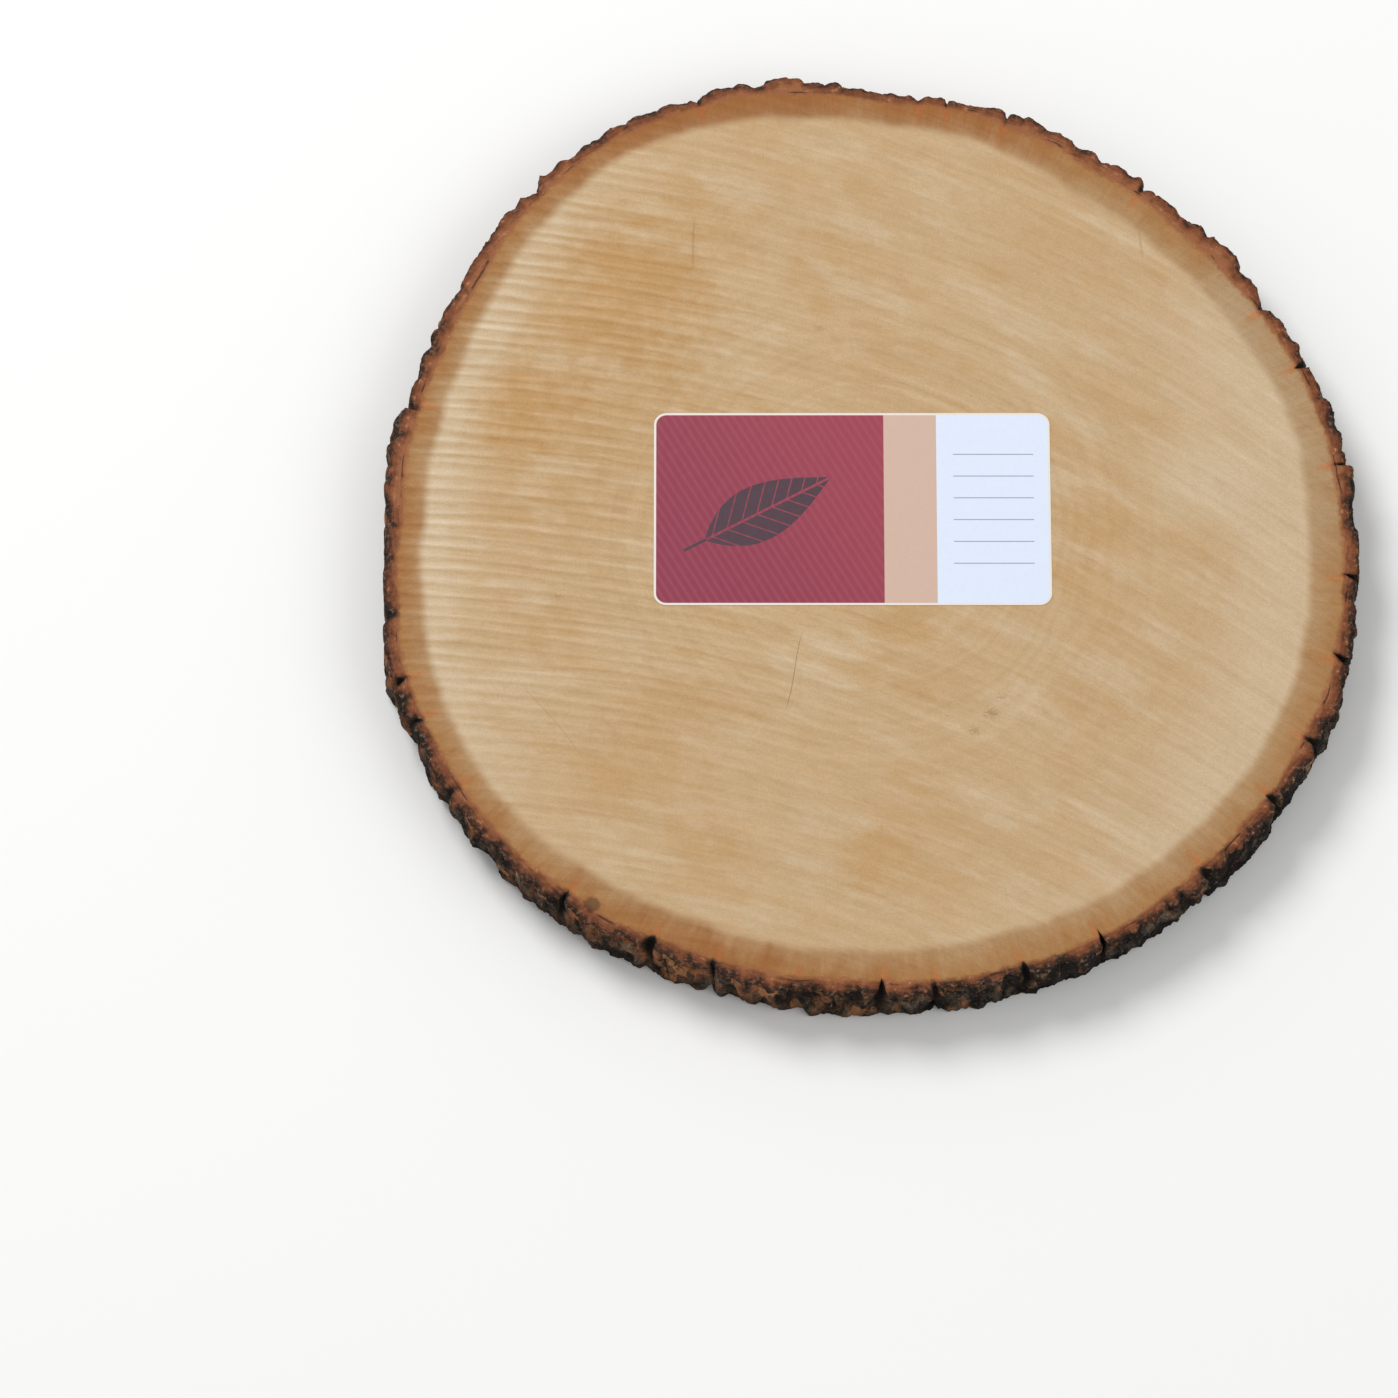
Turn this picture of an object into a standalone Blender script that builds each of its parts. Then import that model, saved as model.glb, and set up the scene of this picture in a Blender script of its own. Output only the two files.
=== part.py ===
"""A round slice of pale wood in its furrowed bark, with a paper label on its upper cut face.

Metres, +Z up. The origin is under the middle of the slice, on the surface that it lies on.
"""

import math

import bmesh
import bpy
import numpy as np
from mathutils import Matrix

MM = 0.001
FULL_TURN = 360.0
SHARP_ANGLE = math.radians(40.0)

# The slice
THICKNESS = 16.0 * MM
COLUMNS = 600
WALL_ROWS = 6

# The bark's wall
EDGE_TAPER_MM = 0.5
SHOULDER_MM = 0.35
SHOULDER_REACH_MM = 1.3
PLATE_CROWN_MM = 0.3
FURROW_LEAN_DEG = 1.0
FURROW_WANDER_DEG = 0.35
BREAK_STEP_MM = 0.9
BREAK_HEIGHTS = (0.25, 0.75)
BREAK_REACH = 0.12
ROUGHNESS_MM = 0.3
ROUGHNESS_WAVES = 26
BARK_SEED = 5

# The label
LABEL_WIDTH = 94.0 * MM
LABEL_DEPTH = 48.5 * MM
LABEL_THICKNESS = 0.3 * MM
LABEL_GAP = 0.3 * MM
LABEL_CORNER = 3.0 * MM
LABEL_MIDDLE = (-4.4 * MM, 6.1 * MM)
LABEL_CORNER_SEGMENTS = 8

# Each row is a furrow and the bark plate after it, round the slice from +X towards +Y:
# the furrow's angle in degrees, its depth and width in mm, and the plate's radius in mm
# where it starts and where it ends at the next furrow
BARK = (
    (2.0, 0.6, 3.0, 113.6, 115.3),
    (8.8, 3.6, 2.2, 114.8, 114.6),
    (13.3, 0.5, 2.4, 114.0, 113.0),
    (20.6, 0.8, 2.4, 112.4, 112.6),
    (22.4, 3.8, 2.8, 112.6, 112.0),
    (31.0, 2.2, 3.6, 110.8, 111.8),
    (38.0, 0.4, 2.4, 112.8, 112.2),
    (42.6, 1.2, 2.4, 111.2, 110.9),
    (46.0, 1.0, 2.4, 110.4, 110.6),
    (53.2, 2.2, 4.0, 111.6, 111.0),
    (64.0, 0.8, 2.4, 111.8, 113.2),
    (72.8, 2.4, 1.6, 113.4, 112.8),
    (78.0, 0.8, 2.4, 112.8, 113.2),
    (80.0, 2.8, 2.0, 113.2, 113.0),
    (83.6, 1.9, 3.0, 112.6, 113.9),
    (90.4, 0.6, 2.4, 114.0, 116.3),
    (97.2, 1.6, 3.4, 118.2, 118.9),
    (101.8, 2.2, 2.2, 119.0, 120.3),
    (110.3, 2.0, 3.6, 118.8, 120.5),
    (118.8, 1.6, 2.4, 120.6, 121.0),
    (123.4, 0.6, 2.4, 120.9, 120.5),
    (130.8, 0.8, 2.4, 120.3, 118.6),
    (134.3, 1.2, 2.4, 119.6, 118.3),
    (141.0, 0.7, 2.4, 117.9, 116.8),
    (146.5, 0.8, 2.4, 116.5, 115.8),
    (153.4, 1.0, 2.4, 115.4, 114.7),
    (159.0, 0.9, 2.4, 114.6, 114.8),
    (163.0, 2.6, 2.4, 116.2, 116.2),
    (171.6, 1.6, 2.8, 115.5, 114.9),
    (178.0, 0.8, 2.4, 114.4, 114.8),
    (183.4, 0.8, 2.4, 115.3, 115.8),
    (190.8, 2.6, 2.8, 116.8, 119.0),
    (198.4, 3.0, 2.8, 118.2, 117.8),
    (203.5, 2.6, 2.6, 117.4, 118.3),
    (213.0, 2.0, 2.6, 118.3, 118.0),
    (221.6, 1.6, 2.4, 118.0, 117.6),
    (231.4, 3.6, 3.0, 117.2, 117.4),
    (238.4, 1.2, 2.6, 116.6, 116.4),
    (242.9, 4.4, 3.2, 116.2, 115.6),
    (250.8, 3.2, 1.8, 115.0, 115.5),
    (260.8, 2.0, 3.4, 115.0, 114.8),
    (271.3, 4.6, 2.8, 114.8, 114.8),
    (277.4, 3.4, 1.8, 114.8, 115.0),
    (287.8, 3.8, 3.6, 115.6, 116.2),
    (297.5, 4.2, 2.0, 115.8, 116.2),
    (308.5, 1.8, 2.4, 116.4, 117.0),
    (312.9, 3.0, 3.2, 116.6, 116.6),
    (317.6, 0.8, 2.4, 117.0, 117.2),
    (324.9, 3.6, 3.0, 116.4, 117.0),
    (333.2, 2.8, 2.8, 117.4, 117.2),
    (343.7, 4.0, 2.8, 116.8, 115.6),
    (351.4, 1.6, 3.4, 115.0, 115.2),
    (354.1, 3.6, 2.4, 115.7, 115.3),
    (361.0, 0.8, 2.4, 114.2, 113.8),
)


def clear_scene():
    """Remove what the scene holds."""
    for item in list(bpy.data.objects):
        bpy.data.objects.remove(item, do_unlink=True)


def make_material(name, colour, roughness):
    """A plain material for one sub-part."""
    material = bpy.data.materials.new(name)
    material.use_nodes = True
    shader = material.node_tree.nodes["Principled BSDF"]
    shader.inputs["Base Color"].default_value = (*colour, 1.0)
    shader.inputs["Roughness"].default_value = roughness
    shader.inputs["Metallic"].default_value = 0.0
    return material


def add_object(name, shape, material, collection):
    """Make an object of a finished bmesh."""
    mesh = bpy.data.meshes.new(name)
    shape.to_mesh(mesh)
    shape.free()
    mesh.shade_smooth()
    mesh.set_sharp_from_angle(angle=SHARP_ANGLE)
    mesh.materials.append(material)
    item = bpy.data.objects.new(name, mesh)
    collection.objects.link(item)
    return item


def smooth_step(share):
    """Ease from 0 to 1 as share goes from 0 to 1."""
    share = np.clip(share, 0.0, 1.0)
    return share * share * (3.0 - 2.0 * share)


def leaning_angle(angle, height):
    """The angle at the upper face that the bark at this angle and height grew out of."""
    drop = 1.0 - height
    lean = FURROW_LEAN_DEG * np.sin(np.radians(angle) + 2.0)
    wander = FURROW_WANDER_DEG * np.sin(7.0 * height + np.radians(angle) * 9.0)
    return angle + (lean + wander) * drop


def plate_breaks(count):
    """For each plate, the height share of the break across it and the step there in mm."""
    draw = np.random.default_rng(BARK_SEED)
    return draw.uniform(*BREAK_HEIGHTS, count), draw.uniform(-BREAK_STEP_MM, BREAK_STEP_MM, count)


def plate_radius(angle, height):
    """The radius in mm of crowned, broken plates with furrows between them."""
    starts, depths, widths, first, last = np.array(BARK).T
    angle = (angle - starts[0]) % FULL_TURN + starts[0]
    plate = np.searchsorted(starts, angle, side="right") - 1
    after = (plate + 1) % len(starts)
    ends = np.where(after == 0, starts[0] + FULL_TURN, starts[after])
    share = (angle - starts[plate]) / (ends - starts[plate])
    radius = first[plate] + (last - first)[plate] * share
    radius = radius + PLATE_CROWN_MM * (1.0 - (2.0 * share - 1.0) ** 2)
    break_height, step = plate_breaks(len(starts))
    below = smooth_step((break_height[plate] - height) / BREAK_REACH)
    radius = radius + np.minimum(step[plate], 0.0) * below - np.maximum(step[plate], 0.0) * (1.0 - below)
    floors = np.minimum(first, np.roll(last, 1)) - depths
    for furrow, gap in ((plate, angle - starts[plate]), (after, ends - angle)):
        gap_mm = np.radians(gap) * radius
        reach = smooth_step(gap_mm / (widths[furrow] / 2.0))
        radius = radius - SHOULDER_MM * np.exp(-gap_mm / SHOULDER_REACH_MM)
        radius = floors[furrow] + (radius - floors[furrow]) * reach
    return radius


def roughness(angle, height):
    """Small seeded relief in mm, which meets itself after a full turn."""
    draw = np.random.default_rng(BARK_SEED)
    relief = np.zeros_like(angle)
    for _ in range(ROUGHNESS_WAVES):
        order = draw.integers(24, 150)
        climb = draw.uniform(-5.0, 5.0)
        phase = draw.uniform(0.0, 2.0 * math.pi)
        relief += np.sin(order * np.radians(angle) + climb * height + phase)
    return ROUGHNESS_MM * relief / math.sqrt(ROUGHNESS_WAVES / 2.0)


def bark_radius(angle, height):
    """The slice's radius in mm at an angle in degrees and a height share from 0 to 1."""
    taper = EDGE_TAPER_MM * (1.0 - np.sin(math.pi * height))
    return plate_radius(leaning_angle(angle, height), height) - taper + roughness(angle, height)


def build_slice(collection):
    """Wood and bark in one closed solid, sawn flat on both faces."""
    shape = bmesh.new()
    bmesh.ops.create_cone(
        shape, cap_ends=True, segments=COLUMNS, radius1=1.0, radius2=1.0, depth=THICKNESS
    )
    upright = [e for e in shape.edges if abs(e.verts[0].co.z - e.verts[1].co.z) > THICKNESS / 2]
    bmesh.ops.subdivide_edges(shape, edges=upright, cuts=WALL_ROWS - 1, use_grid_fill=True)
    places = np.array([v.co for v in shape.verts])
    angle = np.degrees(np.arctan2(places[:, 1], places[:, 0])) % FULL_TURN
    height = places[:, 2] / THICKNESS + 0.5
    radius = bark_radius(angle, height) * MM
    for vert, turn, reach, share in zip(shape.verts, np.radians(angle), radius, height):
        vert.co = (reach * math.cos(turn), reach * math.sin(turn), share * THICKNESS)
    material = make_material("slice_wood", (0.62, 0.41, 0.22), 0.7)
    return add_object("wood_slice", shape, material, collection)


def build_label(collection):
    """A thin sticker with rounded corners, just above the cut face."""
    shape = bmesh.new()
    bmesh.ops.create_cube(shape, size=1.0)
    bmesh.ops.scale(shape, vec=(LABEL_WIDTH, LABEL_DEPTH, LABEL_THICKNESS), verts=shape.verts)
    corners = [e for e in shape.edges if abs(e.verts[0].co.z - e.verts[1].co.z) > LABEL_THICKNESS / 2]
    bmesh.ops.bevel(
        shape,
        geom=corners,
        offset=LABEL_CORNER,
        offset_type="OFFSET",
        segments=LABEL_CORNER_SEGMENTS,
        profile=0.5,
        affect="EDGES",
    )
    material = make_material("label_paper", (0.45, 0.06, 0.09), 0.4)
    label = add_object("label", shape, material, collection)
    label.location = (*LABEL_MIDDLE, THICKNESS + LABEL_GAP + LABEL_THICKNESS / 2.0)
    return label


def centre_under(slice_object, items):
    """Move the meshes so that the middle of the slice's outline is at the origin."""
    places = np.array([v.co for v in slice_object.data.vertices])
    middle = (places.min(axis=0) + places.max(axis=0)) / 2.0
    for item in items:
        item.data.transform(Matrix.Translation((-middle[0], -middle[1], 0.0)))


def main():
    clear_scene()
    collection = bpy.data.collections.new("wood_slice")
    bpy.context.scene.collection.children.link(collection)
    slice_object = build_slice(collection)
    label = build_label(collection)
    centre_under(slice_object, (slice_object, label))


main()
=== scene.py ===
"""The looks of a wood slice: its sawn wood, its bark and the paper label on it."""

import math

import bmesh
import bpy
import numpy as np
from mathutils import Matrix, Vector, noise


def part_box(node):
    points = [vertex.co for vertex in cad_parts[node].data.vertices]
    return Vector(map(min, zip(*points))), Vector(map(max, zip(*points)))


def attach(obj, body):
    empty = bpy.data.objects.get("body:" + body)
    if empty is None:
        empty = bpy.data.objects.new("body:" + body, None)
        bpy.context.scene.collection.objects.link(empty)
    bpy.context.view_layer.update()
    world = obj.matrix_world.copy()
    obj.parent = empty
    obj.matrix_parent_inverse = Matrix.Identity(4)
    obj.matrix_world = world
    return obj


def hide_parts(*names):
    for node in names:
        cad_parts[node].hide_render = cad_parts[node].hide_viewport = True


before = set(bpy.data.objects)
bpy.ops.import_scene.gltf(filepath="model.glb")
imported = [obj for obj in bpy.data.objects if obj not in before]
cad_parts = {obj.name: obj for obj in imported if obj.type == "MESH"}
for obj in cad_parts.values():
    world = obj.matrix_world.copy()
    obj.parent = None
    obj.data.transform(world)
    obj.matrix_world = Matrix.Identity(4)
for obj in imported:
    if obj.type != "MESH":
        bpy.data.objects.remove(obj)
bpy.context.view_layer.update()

MM = 0.001
FULL_TURN = 360.0

# Places that come from the frame
SLICE_LOW, SLICE_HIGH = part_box("wood_slice")
LABEL_LOW, LABEL_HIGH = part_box("label")
THICKNESS = SLICE_HIGH.z
LABEL_MIDDLE = (LABEL_LOW + LABEL_HIGH) / 2.0
LABEL_FROM_PITH_MM = (-4.4, 6.1)
PITH = Vector((
    LABEL_MIDDLE.x - LABEL_FROM_PITH_MM[0] * MM,
    LABEL_MIDDLE.y - LABEL_FROM_PITH_MM[1] * MM,
    0.0,
))

# The camera, as the photograph was taken
PHOTO_PIXELS = 1398
PIXELS_PER_MM = 4.26
CAMERA_DISTANCE = 1.8
CAMERA_ELEVATION_DEG = 71.0
AIM_FROM_PITH_MM = (-40.7, -41.5)
CAMERA_REACH = 20.0
SENSOR_MM = 36.0

# The blank that the slice is shaped from
BLANK_RADIUS_MM = 115.0
COLUMNS = 1440
WALL_CUTS = 23
UPPER_RIM_RINGS_MM = (0.2, 0.5, 0.9, 1.6, 2.6, 3.2, 4.0, 4.0)
LOWER_RIM_RINGS_MM = (0.2, 0.7, 2.1, 5.0, 9.0)
CORE_RADIUS_MM = BLANK_RADIUS_MM - sum(UPPER_RIM_RINGS_MM)

# The marks of the round saw: arcs of its blade, each a feed further on
BLADE_RADIUS_MM = 365.0
BLADE_MIDDLE_X_MM = -122.0
SAW_FEED_MM = 2.95
SAW_RELIEF_MM = 0.07
UPPER_SAW_SEED = 0.0
LOWER_SAW_SEED = 5.0
UPPER_ROW_MM = SAW_FEED_MM / 5.0
UPPER_CELL_MM = 3.0
LOWER_ROW_MM = SAW_FEED_MM / 4.0
LOWER_CELL_MM = 6.0

# The bark's wall, made as in the solid that this piece stands for
EDGE_TAPER_MM = 0.5
SHOULDER_MM = 0.35
SHOULDER_REACH_MM = 1.3
PLATE_CROWN_MM = 0.3
FURROW_LEAN_DEG = 1.0
FURROW_WANDER_DEG = 0.35
BREAK_STEP_MM = 0.9
BREAK_HEIGHTS = (0.25, 0.75)
BREAK_REACH = 0.12
ROUGHNESS_MM = 0.3
ROUGHNESS_WAVES = 26
BARK_SEED = 5

# What the solid leaves out of the bark: ragged, slanting furrows, a far side that is
# calmer and stands out a little more, and a crumbled rim. All of it is eased to stay
# inside the solid's box
FURROW_FILL_MM = 0.8
FURROW_WIDTH_SHARE = 0.92
FURROW_FADES = (0.15, 0.75)
RAGGED_PER_MM = 0.4
RAGGED_MM = 0.6
SLANT_PER_MM = 0.11
SLANT_MM = 3.2
SLANT_FROM_MM = 117.0
SLANT_DEPTH_MM = 4.0
SLANT_FADE_MM = 8.0
FAR_SIDE_DEG = 115.0
CALM_SHARE = 0.5
FAR_LIFT_MM = 0.8
FURROW_CALM = 0.25
RIDGE_MM = 0.5
SCALE_MM = 0.4
CRACK_MM = 0.35
GRIT_MM = 0.22
CAMBIUM_WAVER_MM = 0.7
OUTER_BARK_WAVER_MM = 0.9
CRUMBLE_MM = 1.3
CRUMBLE_REACH_MM = 0.8
CRUMBLE_FROM_HEIGHT = 0.75
BOX_EASE_MM = 0.8
NEARLY_MM = 0.01
NEARLY_SHARE = 0.001
SLICE_SMOOTH_DEG = 50.0
LABEL_SMOOTH_DEG = 30.0

# Furrows and plates round the slice: angle in degrees, depth and width in mm, and the
# radius in mm of the plate after the furrow where it starts and where it ends. A few rows
# are trimmed against the solid's own, for the finer wall
BARK = (
    (2.0, 0.6, 3.0, 113.6, 115.3),
    (8.8, 3.6, 2.2, 114.8, 114.6),
    (13.3, 0.5, 2.4, 114.0, 113.0),
    (20.6, 0.8, 2.4, 112.4, 112.6),
    (22.4, 3.8, 2.8, 112.6, 112.0),
    (31.0, 2.2, 3.6, 110.8, 111.8),
    (38.0, 0.4, 2.4, 112.8, 112.2),
    (42.6, 1.2, 2.4, 111.2, 110.9),
    (46.0, 1.0, 2.4, 110.4, 110.6),
    (53.2, 2.2, 4.0, 111.6, 111.0),
    (64.0, 0.8, 2.4, 111.8, 113.2),
    (72.8, 2.4, 1.6, 113.4, 112.8),
    (78.0, 0.8, 2.4, 112.8, 113.2),
    (80.0, 2.8, 2.0, 113.2, 113.0),
    (83.6, 1.9, 3.0, 112.6, 113.9),
    (90.4, 0.6, 2.4, 114.0, 116.6),
    (97.2, 1.0, 3.4, 117.8, 118.7),
    (101.8, 0.8, 2.2, 118.8, 120.0),
    (110.3, 2.0, 3.6, 118.8, 120.5),
    (118.8, 1.6, 2.4, 120.6, 121.0),
    (123.4, 0.6, 2.4, 120.4, 119.8),
    (130.8, 0.4, 2.4, 119.8, 119.2),
    (134.3, 1.0, 2.4, 120.0, 118.8),
    (141.0, 0.7, 2.4, 117.9, 116.8),
    (146.5, 0.8, 2.4, 116.5, 115.8),
    (153.4, 1.0, 2.4, 115.4, 114.7),
    (159.0, 0.9, 2.4, 114.6, 114.8),
    (163.0, 2.6, 2.4, 116.2, 116.2),
    (171.6, 1.6, 2.8, 115.5, 114.9),
    (178.0, 0.8, 2.4, 114.4, 114.8),
    (183.4, 0.8, 2.4, 115.3, 115.8),
    (190.2, 1.8, 2.8, 117.2, 119.6),
    (198.4, 3.0, 2.8, 118.2, 117.8),
    (203.5, 2.6, 2.6, 117.4, 118.3),
    (213.0, 2.0, 2.6, 118.3, 118.0),
    (221.6, 1.6, 2.4, 118.0, 117.6),
    (231.4, 3.6, 3.0, 117.2, 117.4),
    (238.4, 1.2, 2.6, 116.6, 116.4),
    (242.9, 4.4, 3.2, 116.2, 115.6),
    (250.8, 3.2, 1.8, 115.0, 115.5),
    (260.8, 2.0, 3.4, 115.0, 114.8),
    (271.3, 4.6, 2.8, 114.8, 114.8),
    (277.4, 3.4, 1.8, 114.8, 115.0),
    (287.8, 3.8, 3.6, 115.6, 116.2),
    (297.5, 4.2, 2.0, 115.8, 116.2),
    (308.5, 1.8, 2.4, 116.4, 117.0),
    (312.9, 3.0, 3.2, 116.6, 116.6),
    (317.6, 0.8, 2.4, 117.0, 117.2),
    (324.9, 3.6, 3.0, 116.4, 117.0),
    (333.2, 2.8, 2.8, 117.4, 117.2),
    (343.7, 4.0, 2.8, 116.8, 115.6),
    (351.4, 1.6, 3.4, 115.0, 115.2),
    (354.1, 3.6, 2.4, 115.7, 115.3),
    (361.0, 0.8, 2.4, 114.2, 113.8),
)

# Radii in mm of the two rings in the cut face, every 15 degrees from +X towards +Y:
# where wood meets inner bark, and where inner bark meets the outer bark
CAMBIUM_MM = (
    103.5, 104.0, 101.5, 100.5, 100.8, 104.0, 105.5, 110.0, 113.0, 111.0, 107.5, 106.0,
    106.0, 108.0, 109.5, 108.0, 105.5, 104.3, 103.5, 103.7, 104.5, 105.3, 105.8, 105.0,
)
OUTER_BARK_MM = (
    111.5, 111.0, 109.0, 107.5, 108.0, 110.8, 111.6, 116.4, 117.8, 116.2, 112.6, 111.8,
    111.5, 114.5, 115.3, 114.5, 113.0, 111.5, 110.8, 112.5, 113.0, 113.0, 113.3, 113.0,
)
FLAME_DEPTH_MM = 1.8
FLAME_REACH_MM = 1.3

# How orange the inner bark is, from 0 to 1, every 15 degrees
INNER_BARK_WARMTH = (
    0.2, 0.15, 0.1, 0.35, 0.45, 0.85, 0.8, 1.0, 0.85, 0.55, 0.45, 0.45,
    0.6, 0.5, 0.55, 0.5, 0.7, 0.75, 0.6, 0.4, 0.35, 0.3, 0.35, 0.35,
)


def smooth_step(share):
    """Ease from 0 to 1 as share goes from 0 to 1."""
    share = np.clip(share, 0.0, 1.0)
    return share * share * (3.0 - 2.0 * share)


def round_curve(radii, angle):
    """A smooth closed curve through radii that are evenly spaced round the slice."""
    radii = np.array(radii)
    count = len(radii)
    at = (angle % FULL_TURN) / FULL_TURN * count
    first = np.floor(at).astype(int)
    share = at - first
    before, start, end, after = (radii[(first + step) % count] for step in (-1, 0, 1, 2))
    bend = 2.0 * before - 5.0 * start + 4.0 * end - after
    swing = 3.0 * start - before - 3.0 * end + after
    return start + 0.5 * share * (end - before + share * (bend + share * swing))


def leaning_angle(angle, height):
    """The angle at the upper face that the bark at this angle and height grew out of."""
    drop = 1.0 - height
    lean = FURROW_LEAN_DEG * np.sin(np.radians(angle) + 2.0)
    wander = FURROW_WANDER_DEG * np.sin(7.0 * height + np.radians(angle) * 9.0)
    return angle + (lean + wander) * drop


def plate_breaks(count):
    """For each plate, the height share of the break across it and the step there in mm."""
    draw = np.random.default_rng(BARK_SEED)
    return draw.uniform(*BREAK_HEIGHTS, count), draw.uniform(-BREAK_STEP_MM, BREAK_STEP_MM, count)


def furrow_fades(count):
    """For each furrow, the share of its depth that it loses on the way down."""
    return np.random.default_rng(BARK_SEED + 1).uniform(*FURROW_FADES, count)


def plate_surface(angle, height):
    """The radius of broken plates with furrows between, and how far furrows cut in there."""
    starts, depths, widths, first, last = np.array(BARK).T
    angle = (angle - starts[0]) % FULL_TURN + starts[0]
    plate = np.searchsorted(starts, angle, side="right") - 1
    after = (plate + 1) % len(starts)
    ends = np.where(after == 0, starts[0] + FULL_TURN, starts[after])
    share = (angle - starts[plate]) / (ends - starts[plate])
    radius = first[plate] + (last - first)[plate] * share
    radius = radius + PLATE_CROWN_MM * (1.0 - (2.0 * share - 1.0) ** 2)
    break_height, step = plate_breaks(len(starts))
    below = smooth_step((break_height[plate] - height) / BREAK_REACH)
    step = step[plate]
    radius = radius + np.minimum(step, 0.0) * below - np.maximum(step, 0.0) * (1.0 - below)
    floors = np.minimum(first, np.roll(last, 1)) - depths + FURROW_FILL_MM
    widths = widths * FURROW_WIDTH_SHARE
    rises = depths * furrow_fades(len(starts))
    whole = radius
    for furrow, gap in ((plate, angle - starts[plate]), (after, ends - angle)):
        gap_mm = np.radians(gap) * radius
        reach = smooth_step(gap_mm / (widths[furrow] / 2.0))
        radius = radius - SHOULDER_MM * np.exp(-gap_mm / SHOULDER_REACH_MM)
        floor = floors[furrow] + rises[furrow] * smooth_step(1.0 - height)
        radius = floor + (radius - floor) * reach
    return radius, whole - radius


def flame_share(angle):
    """How near each place is to a deep furrow, where the inner bark turns orange."""
    share = np.zeros_like(angle)
    for start, depth, _, radius, _ in BARK:
        if depth > FLAME_DEPTH_MM:
            turn = (angle - start + FULL_TURN / 2.0) % FULL_TURN - FULL_TURN / 2.0
            gap = np.radians(turn) * radius
            share = np.maximum(share, np.exp(-((gap / FLAME_REACH_MM) ** 2)))
    return share


def roughness(angle, height):
    """Small seeded relief in mm, which meets itself after a full turn."""
    draw = np.random.default_rng(BARK_SEED)
    relief = np.zeros_like(angle)
    for _ in range(ROUGHNESS_WAVES):
        order = draw.integers(24, 150)
        climb = draw.uniform(-5.0, 5.0)
        phase = draw.uniform(0.0, 2.0 * math.pi)
        relief += np.sin(order * np.radians(angle) + climb * height + phase)
    return ROUGHNESS_MM * relief / math.sqrt(ROUGHNESS_WAVES / 2.0)


def scaly_relief(angle, height):
    """Ridges, scales and grit of the outer bark in mm, from noise laid round the wall."""
    relief = np.empty_like(angle)
    turn = np.radians(angle)
    for i, (c, s, h) in enumerate(zip(np.cos(turn), np.sin(turn), height)):
        place = Vector((c * BLANK_RADIUS_MM, s * BLANK_RADIUS_MM, h * THICKNESS / MM))
        ridge = noise.fractal(Vector((place.x * 0.4, place.y * 0.4, place.z * 0.13)), 0.7, 2.1, 4)
        near, points = noise.voronoi(Vector((place.x * 0.3, place.y * 0.3, place.z * 0.13)))
        scale = noise.noise(points[0] * 7.3)
        crack = max(0.0, 1.0 - (near[1] - near[0]) / 0.12)
        grit = noise.fractal(place * 1.1, 0.7, 2.0, 2)
        relief[i] = RIDGE_MM * ridge + SCALE_MM * scale - CRACK_MM * crack + GRIT_MM * grit
    return relief


def ragged_angle(angle, height):
    """The angle, wavering by half a millimetre, so that furrow sides are ragged."""
    turn = np.radians(angle)
    waver = np.array([
        noise.fractal(Vector((c * RAGGED_PER_MM, s * RAGGED_PER_MM, h * 3.0)), 0.8, 2.0, 3)
        for c, s, h in zip(np.cos(turn) * BLANK_RADIUS_MM, np.sin(turn) * BLANK_RADIUS_MM, height)
    ])
    return angle + np.degrees(RAGGED_MM * waver / BLANK_RADIUS_MM)


def furrow_slant(angle, height, radius):
    """Turn in degrees that slants each furrow from its mouth to its floor."""
    turn = np.radians(angle)
    slant = np.array([
        noise.noise(Vector((c * SLANT_PER_MM, s * SLANT_PER_MM, 4.0 + h)))
        for c, s, h in zip(np.cos(turn) * BLANK_RADIUS_MM, np.sin(turn) * BLANK_RADIUS_MM, height)
    ])
    depth = np.clip((SLANT_FROM_MM - radius) / SLANT_DEPTH_MM, 0.0, 1.0)
    inwards = smooth_step((radius - CORE_RADIUS_MM) / SLANT_FADE_MM)
    return np.degrees(SLANT_MM * slant * depth * inwards / BLANK_RADIUS_MM)


def saw_phase(x_mm, y_mm):
    """Distance in mm along the saw's feed, the same all along one blade mark."""
    return y_mm - np.sqrt(BLADE_RADIUS_MM ** 2 - (x_mm - BLADE_MIDDLE_X_MM) ** 2)


def saw_relief(x_mm, y_mm, seed):
    """Depth in mm of the blade marks below the face, deepest at the left."""
    phase = saw_phase(x_mm, y_mm)
    uneven = np.array([
        noise.noise(Vector((x / 60.0, q / 9.0, seed))) for x, q in zip(x_mm, phase)
    ])
    strength = 0.35 + 0.65 * smooth_step(-x_mm / 110.0 + 0.25)
    wave = np.sin(2.0 * math.pi * phase / SAW_FEED_MM + 2.2 * uneven)
    return SAW_RELIEF_MM * strength * (0.7 + 0.6 * uneven) * (0.5 - 0.5 * wave)


def keep_between(values, low, high):
    """Ease coordinates in mm that pass the solid's box back inside it."""
    for side, limit in ((1.0, high / MM), (-1.0, -low / MM)):
        over = np.maximum(side * values - limit + BOX_EASE_MM, 0.0)
        eased = limit - BOX_EASE_MM * np.exp(-over / BOX_EASE_MM)
        values = np.where(over > 0.0, side * eased, values)
    return values


def clear_selection():
    """Leave nothing selected, the frame's own nodes included."""
    bpy.ops.object.select_all(action="DESELECT")


def dice(shape, parts, axis, width):
    """Cut a flat part of the shape into strips of this width across one axis."""
    normal = Vector((0.0, 0.0, 0.0))
    normal[axis] = 1.0
    reach = [v.co[axis] for v in parts if isinstance(v, bmesh.types.BMVert)]
    for cut in np.arange(min(reach) + width * 0.6, max(reach) - width * 0.4, width):
        result = bmesh.ops.bisect_plane(
            shape, geom=parts, plane_co=normal * cut, plane_no=normal, dist=1e-7
        )
        parts = result["geom"]
    return parts


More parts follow.
